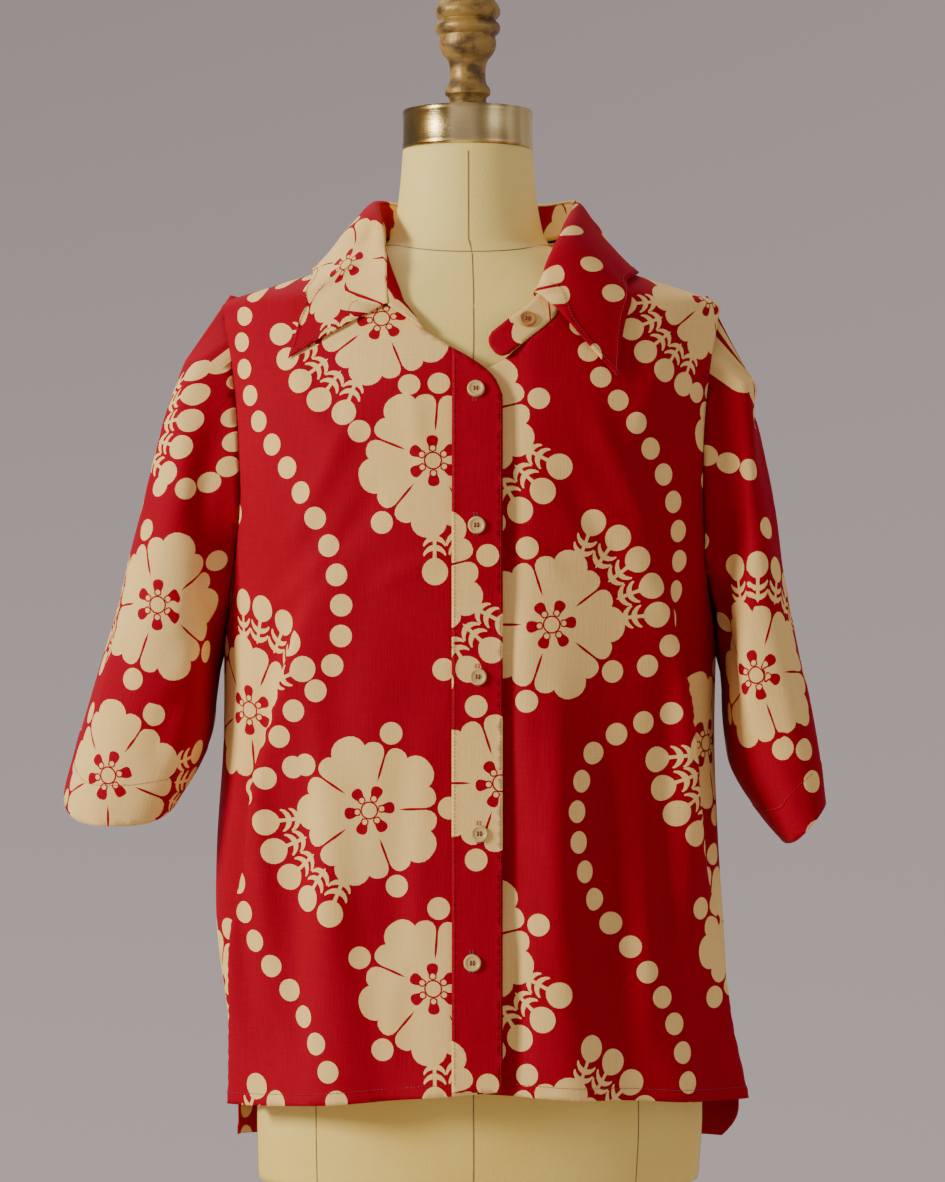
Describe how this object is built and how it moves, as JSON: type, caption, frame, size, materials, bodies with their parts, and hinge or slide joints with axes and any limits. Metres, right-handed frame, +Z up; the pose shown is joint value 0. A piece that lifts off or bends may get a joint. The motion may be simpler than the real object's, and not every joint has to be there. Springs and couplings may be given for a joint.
{
  "type": "hawaiian shirt on a dress form",
  "caption": "Loose short-sleeved print shirt with an open notched collar, buttoned down the front and hung on a limbless dress form on a weighted stand.",
  "frame": {"origin": "middle of the stand's underside, on the floor", "axes": "+Z up along the pole, -Y out of the shirt's buttoned front, +X to the wearer's left"},
  "size_m": [0.565, 0.328, 1.6235],
  "materials": {
    "red_cotton": "matt plain-weave cotton, crimson with a cream flower print",
    "pale_shell": "polished cream shell",
    "amber_shell": "polished amber shell",
    "form_cover": "ivory linen pasted over papier-mache, with a satin size",
    "form_brass": "polished, a little tarnished",
    "form_gilt_wood": "turned wood in old bronze-gold paint",
    "form_iron": "black enamel",
    "form_steel": "satin tube"
  },
  "bodies": {
    "root": {"front_right": "red_cotton", "front_left": "red_cotton", "placket": "red_cotton", "back": "red_cotton", "sleeve_right": "red_cotton", "sleeve_left": "red_cotton", "collar_stand": "red_cotton", "collar_leaf": "red_cotton", "button_1": "pale_shell", "button_2": "pale_shell", "button_3": "pale_shell", "button_4": "pale_shell", "button_5": "pale_shell", "button_neckband": "amber_shell", "form_torso": "form_cover", "form_neck_ring": "form_brass", "form_finial": "form_gilt_wood", "form_plate": "form_iron", "form_pole": "form_steel", "form_base": "form_iron"}
  },
  "joints": []
}
